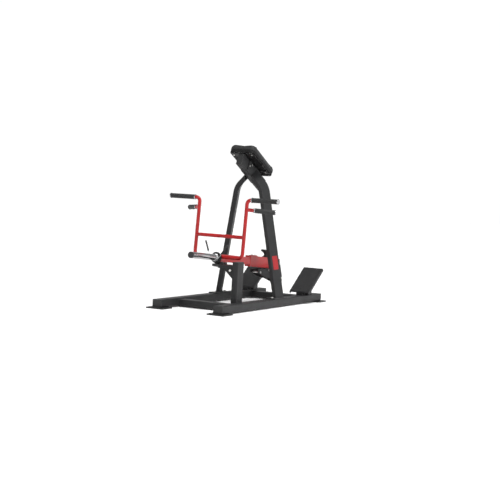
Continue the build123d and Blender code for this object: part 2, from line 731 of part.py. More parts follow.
def grip(length, bore):
    """Moulded grip sleeve with shallow rings, standing on the origin."""
    sleeve = Pos(0, 0, length / 2) * Cylinder(GRIP_R, length)
    sleeve = fillet(sleeve.edges(), 1.6)
    for k in range(5):
        groove = Pos(0, 0, length * (0.16 + 0.17 * k)) * Torus(GRIP_R + 0.9, 1.6)
        sleeve -= groove
    return sleeve - Pos(0, 0, length / 2) * Cylinder(bore, length * 2)


def grip_end():
    """Turned metal cap closing the end of a handle."""
    cap = Pos(0, 0, END_CAP / 2) * Cylinder(GRIP_R + 1.5, END_CAP)
    return fillet(cap.edges().group_by(Axis.Z)[-1], 3.0)


def grip_ring(bore):
    """Metal ring at the inner end of a grip."""
    ring = Pos(0, 0, RING / 2) * Cylinder(GRIP_R + 1.5, RING)
    ring = fillet(ring.edges(), 0.9)
    return ring - Pos(0, 0, RING / 2) * Cylinder(bore, RING * 3)


def grip_rings():
    """Rings on all four handles."""
    upper = upper_frame(UPPER_GRIP_FROM - RING) * grip_ring(FRAME_TUBE_R)
    lower = lower_frame(LOWER_GRIP_FROM - RING) * grip_ring(FRAME_TUBE_R - 0.3)
    return Compound(children=[upper, mirrored(upper), lower, mirrored(lower)])


def grip_end_caps():
    """End caps on all four handles."""
    upper = upper_frame(UPPER_GRIP_TO) * grip_end()
    lower = lower_frame(LOWER_GRIP_TO) * grip_end()
    return Compound(children=[upper, mirrored(upper), lower, mirrored(lower)])


# ---------------------------------------------------------------- weight horn
def horn_frame(forward):
    """Place on the horn, axis turned so local Z points to the tip."""
    return arm_frame(0, forward, 0) * Rot(90, 0, 0)


def horn_flange():
    """Steel flange that closes the arm and carries the horn."""
    disc = Pos(0, 0, 5) * Cylinder(HORN_FLANGE_R, 10)
    disc = chamfer(disc.edges().group_by(Axis.Z)[-1], 1.5)
    return horn_frame(ARM_FRONT) * disc


def horn_bumper():
    """Rubber ring against the flange."""
    ring = Pos(0, 0, 6) * Cylinder(HORN_FLANGE_R + 2, 12)
    ring = fillet(ring.edges(), 2.5)
    return horn_frame(ARM_FRONT + 10) * (ring - Pos(0, 0, 6) * Cylinder(19.0, 40))


def horn_core():
    """Inner tube of the horn, welded to the flange."""
    length = HORN_TO - ARM_FRONT - 10
    tube = Pos(0, 0, length / 2) * Cylinder(18.9, length)
    return horn_frame(ARM_FRONT + 10) * (tube - Pos(0, 0, length / 2) * Cylinder(15.5, length * 2))


def horn_sleeve():
    """Plated sleeve that the weight plates slide onto."""
    length = HORN_TO - HORN_FROM
    tube = Pos(0, 0, length / 2) * Cylinder(HORN_R, length)
    groove = Pos(0, 0, SLEEVE_GROOVE - HORN_FROM) * (Cylinder(HORN_R + 2, 2) - Cylinder(HORN_R - 0.6, 4))
    tube -= groove
    return horn_frame(HORN_FROM) * (tube - Pos(0, 0, length / 2) * Cylinder(19.0, length * 2))


def horn_cap():
    """Plastic cap in the tip of the horn."""
    cap = Pos(0, 0, HORN_CAP / 2) * Cylinder(HORN_R, HORN_CAP)
    cap = fillet(cap.edges().group_by(Axis.Z)[-1], 4)
    cap += Pos(0, 0, -10) * Cylinder(15.3, 20)
    return horn_frame(HORN_TO) * cap


def collar_leg(angle, sense, z, bare, whole):
    """Start, grip start and end of one tangent leg of the collar."""
    radius = COLLAR_COIL_R
    a = math.radians(angle)
    point = Vector(radius * math.cos(a), radius * math.sin(a), z)
    way = Vector(-sense * math.sin(a), sense * math.cos(a), 0)
    return point, point + way * bare, point + way * whole


def collar_ends():
    """The two legs: one at the rear of the coil, one at the front."""
    rear_z = COLLAR_WIRE_R
    part_turn = (COLLAR_FRONT_ANGLE - COLLAR_REAR_ANGLE) / 360.0
    front_z = rear_z + (COLLAR_TURNS + part_turn) * COLLAR_PITCH
    rear = collar_leg(COLLAR_REAR_ANGLE, 1, rear_z, *COLLAR_REAR_LEG)
    front = collar_leg(COLLAR_FRONT_ANGLE, -1, front_z, *COLLAR_FRONT_LEG)
    return rear, front


def collar_coil():
    """Chromed spring wire: coil and two tangent legs."""
    rear, front = collar_ends()
    turns = COLLAR_TURNS + 1 - (COLLAR_FRONT_ANGLE - COLLAR_REAR_ANGLE) / 360.0
    height = front[0].Z - rear[0].Z
    helix = Helix(pitch=height / turns, height=height, radius=COLLAR_COIL_R, lefthand=True)
    helix = Pos(0, 0, rear[0].Z) * Rot(0, 0, COLLAR_REAR_ANGLE) * helix
    section = Plane(origin=helix @ 0, z_dir=helix % 0) * Circle(COLLAR_WIRE_R)
    coil = sweep(section, path=helix, is_frenet=True)
    parts = [coil]
    for leg in (rear, front):
        line = Edge.make_line(leg[0], leg[2])
        parts.append(sweep(Plane(origin=leg[0], z_dir=line % 0) * Circle(COLLAR_WIRE_R - 0.01), path=line))
        parts.append(Pos(leg[0]) * Sphere(COLLAR_WIRE_R))
    whole = parts[0]
    for piece in parts[1:]:
        whole += piece
    return horn_frame(COLLAR_FROM) * whole


def collar_grips():
    """Dipped handles on the collar's legs."""
    out = []
    for leg in collar_ends():
        line = Edge.make_line(leg[1], leg[2] + (leg[2] - leg[1]).normalized() * 4)
        sleeve = sweep(Plane(origin=leg[1], z_dir=line % 0) * Circle(COLLAR_GRIP_R), path=line)
        sleeve = fillet(sleeve.edges().filter_by(GeomType.CIRCLE), 2.0)
        bore = Edge.make_line(leg[1] - (leg[2] - leg[1]) * 0.2, leg[2])
        sleeve -= sweep(Plane(origin=bore @ 0, z_dir=bore % 0) * Circle(COLLAR_WIRE_R), path=bore)
        out.append(horn_frame(COLLAR_FROM) * sleeve)
    return Compound(children=out)


# ---------------------------------------------------------------- foot plates
def foot_plate():
    """Right foot plate: sheet with turned-down side and top lips."""
    half = FOOT_PLATE_WIDTH / 2
    top = -MAT_THICK
    sheet = block(-half, half, 0, FOOT_PLATE_LENGTH, top - SHEET, top)
    sheet += block(-half, -half + 4, 0, FOOT_PLATE_LENGTH, top - 24, top)
    sheet += block(half - 4, half, 0, FOOT_PLATE_LENGTH, top - 24, top)
    sheet += block(-half, half, FOOT_PLATE_LENGTH - 4, FOOT_PLATE_LENGTH, top - 24, top)
    for along in FOOT_SCREWS:
        sheet -= Pos(0, along, top) * Cylinder(4.2, 60)
    return foot_frame(FOOT_PLATE_X, 0, 0) * sheet


def foot_mat():
    """Ribbed rubber mat on the right foot plate."""
    half = FOOT_PLATE_WIDTH / 2 - 7
    mat = block(-half, half, 7, FOOT_PLATE_LENGTH - 7, -MAT_THICK, -MAT_THICK / 2)
    count = 24
    step = (FOOT_PLATE_LENGTH - 14) / count
    for k in range(count):
        low = 7 + step * k
        mat += block(-half, half, low + step * 0.2, low + step * 0.75, -MAT_THICK / 2, 0)
    for along in FOOT_SCREWS:
        mat -= Pos(0, along, 0) * Cylinder(8.5, 60)
    return foot_frame(FOOT_PLATE_X, 0, 0) * mat


def under_plate(solid):
    """Trim a support to the underside of the foot plate."""
    cutter = foot_frame(FOOT_PLATE_X, FOOT_PLATE_LENGTH / 2, -MAT_THICK - SHEET + 200) * Box(400, 700, 400)
    return solid - cutter


def foot_brace():
    """Welded bar in the head of the support tube that takes the upper screw."""
    half = COLUMN / 2 - TUBE_WALL
    mid = FOOT_SUPPORT_Y
    bar = block(FOOT_PLATE_X - half, FOOT_PLATE_X + half, mid - half, mid + half, 120, 300)
    low = foot_frame(FOOT_PLATE_X, FOOT_PLATE_LENGTH / 2, -MAT_THICK - SHEET - 6 - 200) * Box(400, 700, 400)
    return under_plate(bar) - low


def foot_support():
    """Upright tube from the rail to the underside of the right foot plate."""
    tube = tube_along("z", 260, COLUMN, COLUMN, TUBE_WALL, TUBE_CORNER)
    tube = Pos(FOOT_PLATE_X, FOOT_SUPPORT_Y, RAIL_TOP) * tube
    tube = under_plate(tube) + foot_brace()
    return tube - foot_frame(FOOT_PLATE_X, FOOT_SCREWS[1], 0) * Cylinder(4.2, 80)


def foot_bracket():
    """Folded bracket at the lower edge of the right foot plate."""
    outer = block(FOOT_PLATE_X - 28, FOOT_PLATE_X + 28, FRONT + 1404, FRONT + 1452, RAIL_TOP, 260)
    inner = block(FOOT_PLATE_X - 30, FOOT_PLATE_X + 30, FRONT + 1409, FRONT + 1447, RAIL_TOP + 5, 300)
    body = under_plate(outer) - inner
    bar = block(FOOT_PLATE_X - 28, FOOT_PLATE_X + 28, FRONT + 1409, FRONT + 1447, RAIL_TOP + 5, 260)
    low = foot_frame(FOOT_PLATE_X, FOOT_PLATE_LENGTH / 2, -MAT_THICK - SHEET - 5 - 200) * Box(400, 700, 400)
    body += under_plate(bar) - low
    return body - foot_frame(FOOT_PLATE_X, FOOT_SCREWS[0], 0) * Cylinder(4.2, 80)


def foot_screws():
    """Screws through the foot plates into their supports."""
    out = []
    for along in FOOT_SCREWS:
        place = foot_frame(FOOT_PLATE_X, along, -MAT_THICK)
        out.append(place * hex_bolt(8, 14, 13, 4.0))
    return Compound(children=out + [mirrored(s) for s in out])


# ---------------------------------------------------------------- write nodes
def main():
    """Build every node and write its file."""
    save(foot_slab(FOOT_RUBBER, 0), "floor_pads")
    save(foot_slab(FOOT_STEEL, FOOT_RUBBER), "floor_plates")
    save(rail(-1), "left_rail")
    save(rail(1), "right_rail")
    save(rail_end_caps(), "rail_end_caps")
    save(crossbar(FRONT_BAR_AT), "front_crossbar")
    save(crossbar(REAR_BAR_AT), "rear_crossbar")
    leg = right_leg()
    save(leg, "right_leg")
    save(mirrored(leg), "left_leg")
    save(pair(leg_base_plate()), "leg_base_plates")
    save(leg_base_fasteners(), "leg_base_fasteners")
    save(pad_beam(), "pad_beam")
    save(pair(leg_flange()), "leg_flanges")
    save(flange_fasteners(), "flange_fasteners")
    save(pad_straps(), "pad_straps")
    save(pad_board(), "pad_board")
    save(chest_pad(), "chest_pad")
    save(pad_bolts(), "pad_bolts")
    save(pair(leg_labels()), "leg_labels")
    save(rest_post(), "rest_post")
    save(rest_shelf(), "rest_shelf")
    save(shelf_gusset(), "shelf_gusset")
    save(rest_bumper(), "rest_bumper")
    save(rest_fasteners(), "rest_fasteners")
    save(pivot_column(), "pivot_column")
    plate = pivot_side_plate()
    save(plate, "pivot_plate_right")
    save(mirrored(plate), "pivot_plate_left")
    save(stand_fasteners(), "stand_fasteners")
    save(tube_plugs(), "tube_plugs")
    save(toe_spacers(), "toe_spacers")
    save(pivot_shaft(), "pivot_shaft")
    save(shaft_retainers(), "shaft_retainers")
    save(arm_rear(), "arm_rear_beam")
    save(arm_tail_cap(), "arm_tail_cap")
    save(arm_front(), "arm_front_beam")
    save(arm_lug(), "arm_top_pad")
    save(arm_lug_bolts(), "arm_top_bolts")
    save(arm_hub(), "arm_hub")
    save(pivot_bushes(), "pivot_bushes")
    save(thrust_washers(), "thrust_washers")
    save(band_peg(), "band_peg")
    side = frame_side()
    save(Compound(children=[side, mirrored(side)]), "handle_frame_tubes")
    save(frame_crossbar(), "handle_frame_crossbar")
    save(pair(lower_handle()), "lower_handle_tubes")
    upper = upper_frame(UPPER_GRIP_FROM) * grip(UPPER_GRIP_TO - UPPER_GRIP_FROM, FRAME_TUBE_R)
    save(pair(upper), "upper_grips")
    lower = lower_frame(LOWER_GRIP_FROM) * grip(LOWER_GRIP_TO - LOWER_GRIP_FROM, FRAME_TUBE_R - 0.3)
    save(pair(lower), "lower_grips")
    save(grip_rings(), "grip_rings")
    save(grip_end_caps(), "grip_end_caps")
    save(horn_flange(), "horn_flange")
    save(horn_bumper(), "horn_bumper")
    save(horn_core(), "horn_core")
    save(horn_sleeve(), "horn_sleeve")
    save(horn_cap(), "horn_cap")
    save(collar_coil(), "collar_spring")
    save(collar_grips(), "collar_grips")
    save(pair(foot_plate()), "foot_plates")
    save(pair(foot_mat()), "foot_mats")
    save(pair(foot_support()), "foot_supports")
    save(pair(foot_bracket()), "foot_brackets")
    save(foot_screws(), "foot_screws")


main()
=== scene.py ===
import bpy
import json
import math
from mathutils import Matrix, Vector
from mathutils.bvhtree import BVHTree


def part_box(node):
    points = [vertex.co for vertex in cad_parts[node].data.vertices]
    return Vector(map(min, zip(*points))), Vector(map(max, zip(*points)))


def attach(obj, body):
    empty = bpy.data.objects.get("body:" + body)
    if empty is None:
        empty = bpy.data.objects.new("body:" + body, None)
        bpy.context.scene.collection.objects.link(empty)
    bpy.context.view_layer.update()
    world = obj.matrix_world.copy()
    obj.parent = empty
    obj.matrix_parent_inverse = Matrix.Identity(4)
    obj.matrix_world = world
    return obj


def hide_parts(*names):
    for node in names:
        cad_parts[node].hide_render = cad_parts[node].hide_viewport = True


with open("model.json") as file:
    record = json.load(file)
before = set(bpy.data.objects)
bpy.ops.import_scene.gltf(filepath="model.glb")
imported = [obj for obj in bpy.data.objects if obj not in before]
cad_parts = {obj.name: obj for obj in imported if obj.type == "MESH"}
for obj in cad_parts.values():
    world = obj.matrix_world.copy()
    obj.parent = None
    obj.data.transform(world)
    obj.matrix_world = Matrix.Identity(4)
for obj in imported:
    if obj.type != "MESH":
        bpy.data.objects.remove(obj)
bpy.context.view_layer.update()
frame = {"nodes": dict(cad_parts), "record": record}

ARM_TILT = -4.6          # degrees about X: weight end up at rest
PAD_TILT = -27.0         # degrees about X: pad falls towards the foot end
LEG_TURN = 18.0          # degrees about Z: each leg's section is turned outwards

CAMERA_PLACE = (4.713, -8.824, 1.012)
CAMERA_AHEAD = (-0.46655, 0.88272, -0.05610)
CAMERA_ROLL = 3.12       # degrees
CAMERA_LENS = 88.4       # mm on a 36 mm sensor
FLOOR_HALF = 30.0        # metres

BEAD_RADIUS = 0.0023     # weld beads on the frame
ARM_BEAD_RADIUS = 0.0020
BEAD_STEP = 0.0012       # one ring of a bead to the next
BEAD_RIPPLE = 0.28
TUBE_CORNER = 0.006      # outer corner of the rectangular tubes
HANDLE_RADIUS = 0.0143   # tube of the handle frame
SADDLE_RADIUS = 0.0150   # bead round a tube that meets it

PAD_CORNER = 0.040       # cushion's corner, seen square on
BOARD_CORNER = 0.030
PIPING_RADIUS = 0.0030
THREAD_RADIUS = 0.0006
STAPLE_RADIUS = 0.0005
STAPLE_HALF = 0.0055     # half of a staple's crown
STAPLE_MARGIN = 0.014    # from the board's edge

X, Y, Z = Vector((1, 0, 0)), Vector((0, 1, 0)), Vector((0, 0, 1))


# ------------------------------------------------------------ frames of reference
class Tilted:
    """A frame turned about X, with a CAD node's extent measured in it."""

    def __init__(self, node, degrees):
        self.turn = Matrix.Rotation(math.radians(degrees), 3, "X")
        back = self.turn.transposed()
        points = [back @ v.co for v in frame["nodes"][node].data.vertices]
        self.low = Vector([min(p[i] for p in points) for i in range(3)])
        self.high = Vector([max(p[i] for p in points) for i in range(3)])

    def world(self, x, y, z):
        """Point or direction in the machine's frame."""
        return self.turn @ Vector((x, y, z))


def mesh_piece(name, verts, faces, body, material):
    """New smooth-shaded mesh object that rides on a CAD body and fills one of its slots."""
    mesh = bpy.data.meshes.new(name)
    mesh.from_pydata([tuple(v) for v in verts], [], faces)
    mesh.update()
    obj = bpy.data.objects.new(name, mesh)
    bpy.context.scene.collection.objects.link(obj)
    for poly in mesh.polygons:
        poly.use_smooth = True
    mesh.materials.append(material)
    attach(obj, body)
    return obj


# ------------------------------------------------------------ materials
def shader(name):
    """Empty node material with its Principled shader and a small node factory."""
    mat = bpy.data.materials.new(name)
    mat.use_nodes = True
    tree = mat.node_tree
    bsdf = tree.nodes["Principled BSDF"]

    def add(kind, **values):
        node = tree.nodes.new(kind)
        for key, value in values.items():
            if key in node.inputs:
                node.inputs[key].default_value = value
            else:
                setattr(node, key, value)
        return node

    return mat, bsdf, add, tree.links.new


def noise(add, link, coords, scale, detail=4.0, rough=0.55, stretch=None):
    """Noise texture on object coordinates, optionally stretched."""
    node = add("ShaderNodeTexNoise", Scale=scale, Detail=detail, Roughness=rough)
    source = coords.outputs["Object"]
    if stretch:
        mapping = add("ShaderNodeMapping")
        mapping.inputs["Scale"].default_value = stretch
        link(source, mapping.inputs["Vector"])
        source = mapping.outputs["Vector"]
    link(source, node.inputs["Vector"])
    return node.outputs["Fac"]


def ramp(add, link, fac, stops):
    """Colour ramp with the given (position, colour) stops."""
    node = add("ShaderNodeValToRGB")
    elements = node.color_ramp.elements
    while len(elements) < len(stops):
        elements.new(0.5)
    for element, (pos, colour) in zip(elements, stops):
        element.position = pos
        element.color = (*colour, 1.0)
    link(fac, node.inputs["Fac"])
    return node.outputs["Color"]


def spread(add, link, fac, low, high):
    """Map a 0-1 texture value to a range."""
    node = add("ShaderNodeMapRange")
    node.inputs["To Min"].default_value = low
    node.inputs["To Max"].default_value = high
    link(fac, node.inputs["Value"])
    return node.outputs["Result"]


def edge_mask(add, link, radius, low, high):
    """White on convex and concave edges, from a bevelled normal against the true one."""
    bevel = add("ShaderNodeBevel", samples=6, Radius=radius)
    geometry = add("ShaderNodeNewGeometry")
    dot = add("ShaderNodeVectorMath", operation="DOT_PRODUCT")
    link(bevel.outputs["Normal"], dot.inputs[0])
    link(geometry.outputs["True Normal"], dot.inputs[1])
    span = add("ShaderNodeMapRange")
    span.inputs["From Min"].default_value = high
    span.inputs["From Max"].default_value = low
    link(dot.outputs["Value"], span.inputs["Value"])
    return span.outputs["Result"], bevel.outputs["Normal"]


def grained(add, link, bsdf, height, strength, distance, radius):
    """Fine bump laid over softened edges."""
    bevel = add("ShaderNodeBevel", samples=4, Radius=radius)
    bump = add("ShaderNodeBump", Strength=strength, Distance=distance)
    link(height, bump.inputs["Height"])
    link(bevel.outputs["Normal"], bump.inputs["Normal"])
    link(bump.outputs["Normal"], bsdf.inputs["Normal"])


def powder_coat(name, dark, light, worn, rough, grain, coat=0.0):
    """Fine-texture powder coat: speckle, soft clouds, rubbed edges and a bevelled highlight."""
    mat, bsdf, add, link = shader(name)
    coords = add("ShaderNodeTexCoord")
    clouds = noise(add, link, coords, 7.0, 3.0)
    speck = noise(add, link, coords, 1500.0, 2.0)
    base = ramp(add, link, clouds, [(0.3, dark), (0.72, light)])
    speckle = add("ShaderNodeMix", data_type="RGBA", blend_type="MULTIPLY")
    speckle.inputs["Factor"].default_value = 0.35
    link(base, speckle.inputs["A"])
    dots = ramp(add, link, speck, [(0.35, (0.62, 0.62, 0.62)), (0.65, (1.25, 1.25, 1.25))])
    link(dots, speckle.inputs["B"])
    mask, rounded = edge_mask(add, link, 0.0022, 0.80, 0.995)
    patchy = add("ShaderNodeMath", operation="MULTIPLY")
    link(mask, patchy.inputs[0])
    link(spread(add, link, noise(add, link, coords, 38.0, 5.0), 0.0, 0.75), patchy.inputs[1])
    wear = add("ShaderNodeMix", data_type="RGBA")
    link(patchy.outputs["Value"], wear.inputs["Factor"])
    link(speckle.outputs["Result"], wear.inputs["A"])
    wear.inputs["B"].default_value = (*worn, 1.0)
    link(wear.outputs["Result"], bsdf.inputs["Base Color"])
    sheen = noise(add, link, coords, 24.0, 6.0)
    link(spread(add, link, sheen, rough - 0.06, rough + 0.08), bsdf.inputs["Roughness"])
    bump = add("ShaderNodeBump", Strength=grain, Distance=0.0004)
    link(speck, bump.inputs["Height"])
    link(rounded, bump.inputs["Normal"])
    link(bump.outputs["Normal"], bsdf.inputs["Normal"])
    bsdf.inputs["Specular IOR Level"].default_value = 0.30
    bsdf.inputs["Coat Weight"].default_value = coat
    bsdf.inputs["Coat Roughness"].default_value = 0.16
    return mat


def metal(name, colour, rough, streak, grain=0.12):
    """Bare or plated metal with turning marks and faint stains."""
    mat, bsdf, add, link = shader(name)
    coords = add("ShaderNodeTexCoord")
    streaks = noise(add, link, coords, 60.0, 5.0, stretch=streak)
    tint = [c * 0.8 for c in colour]
    stains = noise(add, link, coords, 14.0, 4.0)
    link(ramp(add, link, stains, [(0.3, tint), (0.6, colour)]), bsdf.inputs["Base Color"])
    link(spread(add, link, streaks, rough * 0.7, rough * 1.5), bsdf.inputs["Roughness"])
    grained(add, link, bsdf, streaks, grain, 0.0002, 0.0007)
    bsdf.inputs["Metallic"].default_value = 1.0
    return mat


def rubber(name, colour, rough, scale, strength, specks=None):
    """Rubber or moulded plastic with a fine grain, and with paler specks if asked."""
    mat, bsdf, add, link = shader(name)
    coords = add("ShaderNodeTexCoord")
    dull = [c * 0.72 for c in colour]
    base = ramp(add, link, noise(add, link, coords, 22.0, 5.0), [(0.28, dull), (0.7, colour)])
    if specks:
        dots = add("ShaderNodeTexVoronoi", Scale=420.0)
        link(coords.outputs["Object"], dots.inputs["Vector"])
        mix = add("ShaderNodeMix", data_type="RGBA")
        spots = ramp(add, link, dots.outputs["Distance"], [(0.10, (1, 1, 1)), (0.16, (0, 0, 0))])
        link(spots, mix.inputs["Factor"])
        link(base, mix.inputs["A"])
        mix.inputs["B"].default_value = (*specks, 1.0)
        base = mix.outputs["Result"]
    link(base, bsdf.inputs["Base Color"])
    fine = noise(add, link, coords, scale, 3.0)
    link(spread(add, link, fine, rough - 0.08, rough + 0.1), bsdf.inputs["Roughness"])
    grained(add, link, bsdf, fine, strength, 0.0005, 0.0012)
    return mat


def knurled(name, colour, centre, pitch):
    """Grip rubber with a diamond pattern round an axis along X through centre."""
    mat, bsdf, add, link = shader(name)
    coords = add("ShaderNodeTexCoord")
    shift = add("ShaderNodeVectorMath", operation="SUBTRACT")
    link(coords.outputs["Object"], shift.inputs[0])
    shift.inputs[1].default_value = centre
    split = add("ShaderNodeSeparateXYZ")
    link(shift.outputs["Vector"], split.inputs["Vector"])
    angle = add("ShaderNodeMath", operation="ARCTAN2")
    link(split.outputs["Y"], angle.inputs[0])
    link(split.outputs["Z"], angle.inputs[1])
    around = add("ShaderNodeMath", operation="MULTIPLY")
    around.inputs[1].default_value = 20.0
    link(angle.outputs["Value"], around.inputs[0])
    along = add("ShaderNodeMath", operation="MULTIPLY")
    along.inputs[1].default_value = 2 * math.pi / pitch
    link(split.outputs["X"], along.inputs[0])
    waves = []
    for op in ("ADD", "SUBTRACT"):
        both = add("ShaderNodeMath", operation=op)
        link(around.outputs["Value"], both.inputs[0])
        link(along.outputs["Value"], both.inputs[1])
        wave = add("ShaderNodeMath", operation="SINE")
        link(both.outputs["Value"], wave.inputs[0])
        waves.append(wave.outputs["Value"])
    diamond = add("ShaderNodeMath", operation="MULTIPLY")
    link(waves[0], diamond.inputs[0])
    link(waves[1], diamond.inputs[1])
    dull = [c * 0.7 for c in colour]
    clouds = noise(add, link, coords, 35.0, 5.0)
    link(ramp(add, link, clouds, [(0.3, dull), (0.7, colour)]), bsdf.inputs["Base Color"])
    link(spread(add, link, noise(add, link, coords, 500.0, 3.0), 0.5, 0.72), bsdf.inputs["Roughness"])
    grained(add, link, bsdf, diamond.outputs["Value"], 0.6, 0.0009, 0.001)
    return mat


def vinyl(name, colour, rough):
    """Upholstery vinyl: pebbled grain with painted shade darkening its grooves, soft creases and a
    clouded colour.
    """
    mat, bsdf, add, link = shader(name)
    coords = add("ShaderNodeTexCoord")
    warp = noise(add, link, coords, 260.0, 3.0)
    shift = add("ShaderNodeVectorMath", operation="MULTIPLY_ADD")
    comb = add("ShaderNodeCombineXYZ")
    for axis in "XYZ":
        link(warp, comb.inputs[axis])
    link(comb.outputs["Vector"], shift.inputs[0])
    shift.inputs[1].default_value = (0.0016, 0.0016, 0.0016)
    link(coords.outputs["Object"], shift.inputs[2])
    pebble = add("ShaderNodeTexVoronoi", Scale=430.0, feature="DISTANCE_TO_EDGE")
    link(shift.outputs["Vector"], pebble.inputs["Vector"])
    cells = add("ShaderNodeMapRange")
    cells.inputs["From Max"].default_value = 0.22
    link(pebble.outputs["Distance"], cells.inputs["Value"])
    creases = noise(add, link, coords, 30.0, 6.0, 0.6)
    # Painted shade: the grooves between the pebbles are darkened to 0.62 of the colour, standing in for
    # the shade in the grain's hollows.
    low = [c * 0.62 for c in colour]
    groove_shaded_tone = ramp(add, link, cells.outputs["Result"], [(0.0, low), (0.55, colour)])
    cloudy = add("ShaderNodeMix", data_type="RGBA", blend_type="MULTIPLY")
    cloudy.inputs["Factor"].default_value = 0.5
    link(groove_shaded_tone, cloudy.inputs["A"])
    clouds = noise(add, link, coords, 9.0, 4.0)
    shade = ramp(add, link, clouds, [(0.3, (0.75, 0.75, 0.76)), (0.7, (1.15, 1.15, 1.14))])
    link(shade, cloudy.inputs["B"])
    link(cloudy.outputs["Result"], bsdf.inputs["Base Color"])
    link(spread(add, link, creases, rough - 0.1, rough + 0.12), bsdf.inputs["Roughness"])
    first = add("ShaderNodeBump", Strength=0.35, Distance=0.0006)
    link(cells.outputs["Result"], first.inputs["Height"])
    second = add("ShaderNodeBump", Strength=0.22, Distance=0.0025)
    link(creases, second.inputs["Height"])
    link(first.outputs["Normal"], second.inputs["Normal"])
    link(second.outputs["Normal"], bsdf.inputs["Normal"])
    bsdf.inputs["Specular IOR Level"].default_value = 0.2
    return mat


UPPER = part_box("upper_grips")
GRIP_AXIS = (0.0, (UPPER[0][1] + UPPER[1][1]) / 2, (UPPER[0][2] + UPPER[1][2]) / 2)

M = {
    "frame_paint": powder_coat(
        "frame_powder_coat", (0.013, 0.0132, 0.0138), (0.021, 0.0213, 0.0222), (0.085, 0.085, 0.088),
        0.52, 0.30),
    "arm_paint": powder_coat(
        "arm_powder_coat", (0.30, 0.003, 0.004), (0.40, 0.005, 0.006), (0.55, 0.06, 0.06),
        0.34, 0.10, 0.25),
    "black_steel": powder_coat(
        "black_powder_coat", (0.010, 0.010, 0.0105), (0.016, 0.016, 0.017), (0.075, 0.075, 0.075),
        0.48, 0.25),
    "black_plastic": rubber("moulded_plastic", (0.014, 0.014, 0.0145), 0.5, 900.0, 0.25),
    "floor_rubber": rubber("floor_rubber", (0.012, 0.012, 0.012), 0.82, 600.0, 0.4),
    "bumper_rubber": rubber("bumper_rubber", (0.010, 0.010, 0.010), 0.7, 500.0, 0.35),
    "mat_rubber": rubber("mat_rubber", (0.020, 0.0203, 0.021), 0.72, 700.0, 0.45, (0.045, 0.045, 0.047)),
    "zinc_bolts": metal("zinc_plate", (0.74, 0.73, 0.70), 0.30, (1, 1, 1)),
    "steel": metal("turned_steel", (0.56, 0.56, 0.55), 0.32, (6, 1, 1)),
    "bronze": metal("oil_bronze", (0.60, 0.40, 0.18), 0.34, (4, 1, 1)),
    "chrome": metal("polished_chrome", (0.52, 0.52, 0.53), 0.14, (1, 0.2, 1), 0.04),
    "label_red": rubber("printed_film", (0.36, 0.006, 0.010), 0.42, 300.0, 0.06),
    "pad_cover": vinyl("pad_vinyl", (0.026, 0.0265, 0.0275), 0.5),
    "pad_board": vinyl("board_vinyl", (0.006, 0.006, 0.0063), 0.62),
    "grip_rubber": knurled("grip_knurl_wide", (0.012, 0.012, 0.0125), GRIP_AXIS, 0.0055),
    "thread": rubber("thread", (0.045, 0.045, 0.047), 0.7, 900.0, 0.2),
}

for part in frame["record"]["subparts"]:
    obj = frame["nodes"].get(part["node"])
    if obj is None:
        continue
    for slot in obj.material_slots:
        slot.material = M[part["material_slot"]]


# ------------------------------------------------------------ swept detail
def ring_tube(points, radius, sides, closed, ripple=0.0, pitch=0.003):
    """Tube round a list of points; ripple makes the stacked scales of a weld bead."""
    verts, faces = [], []
    count = len(points)
    travelled = 0.0
    side = None
    for i, p in enumerate(points):
        before = points[i - 1] if (i or closed) else p
        after = points[(i + 1) % count] if (i < count - 1 or closed) else p
        tangent = (after - before).normalized()
        if side is None:
            guess = Z if abs(tangent.z) < 0.9 else X
            side = tangent.cross(guess).normalized()
        side = (side - tangent * side.dot(tangent)).normalized()
        other = tangent.cross(side)
        travelled += (p - points[i - 1]).length if i else 0.0
        r = radius * (1.0 + ripple * abs(math.sin(math.pi * travelled / pitch)))
        for k in range(sides):
            a = 2 * math.pi * k / sides
            verts.append(p + side * (r * math.cos(a)) + other * (r * math.sin(a)))
    rings = count if closed else count - 1
    for i in range(rings):
        j = (i + 1) % count
        for k in range(sides):
            n = (k + 1) % sides
            faces.append((i * sides + k, i * sides + n, j * sides + n, j * sides + k))
    if not closed:
        faces.append(tuple(range(sides))[::-1])
        faces.append(tuple((count - 1) * sides + k for k in range(sides)))
    return verts, faces


def add_tube(verts, faces, points, radius, sides, closed, ripple=0.0):
    """Appends a tube to a mesh that is being built."""
    more_verts, more_faces = ring_tube(points, radius, sides, closed, ripple)
    offset = len(verts)
    verts += more_verts
    faces += [tuple(i + offset for i in face) for face in more_faces]


def resample(points, step, closed):
    """Points spaced about one step apart along a polyline."""
    out = []
    last = len(points) if closed else len(points) - 1
    for i in range(last):
        a, b = points[i], points[(i + 1) % len(points)]
        n = max(1, round((b - a).length / step))
        out += [a.lerp(b, k / n) for k in range(n)]
    if not closed:
        out.append(points[-1])
    return out


def weld(name, loops, body, slot, radius):
    """Weld beads along several closed or open polylines, as one piece."""
    verts, faces = [], []
    for points, closed in loops:
        add_tube(verts, faces, resample(points, BEAD_STEP, closed), radius, 7, closed, BEAD_RIPPLE)
    mesh_piece(name, verts, faces, body, M[slot])


def rounded_loop(centre, u, v, half_u, half_v, corner, steps=6):
    """Closed rounded rectangle in the plane of two directions."""
    out = []
    for qu, qv, start in ((1, 1, 0), (-1, 1, 90), (-1, -1, 180), (1, -1, 270)):
        for k in range(steps + 1):
            a = math.radians(start + 90 * k / steps)
            du = qu * (half_u - corner) + corner * math.cos(a)
            dv = qv * (half_v - corner) + corner * math.sin(a)
            out.append(centre + u * du + v * dv)
    return out


def circle_loop(centre, u, v, radius, count=48):
    """Closed circle in the plane of two directions."""
    out = []
    for k in range(count):
        a = 2 * math.pi * k / count
        out.append(centre + u * radius * math.cos(a) + v * radius * math.sin(a))
    return out


def tube_loop(centre, u, v, half_u, half_v):
    """Closed loop round the end of a rectangular tube, ready for weld()."""
    return rounded_loop(centre, u, v, half_u, half_v, TUBE_CORNER), True


def seam(x, start, end):
    """Open straight loop at one x, from one (y, z) to another, ready for weld()."""
    return [Vector((x, *start)), Vector((x, *end))], False


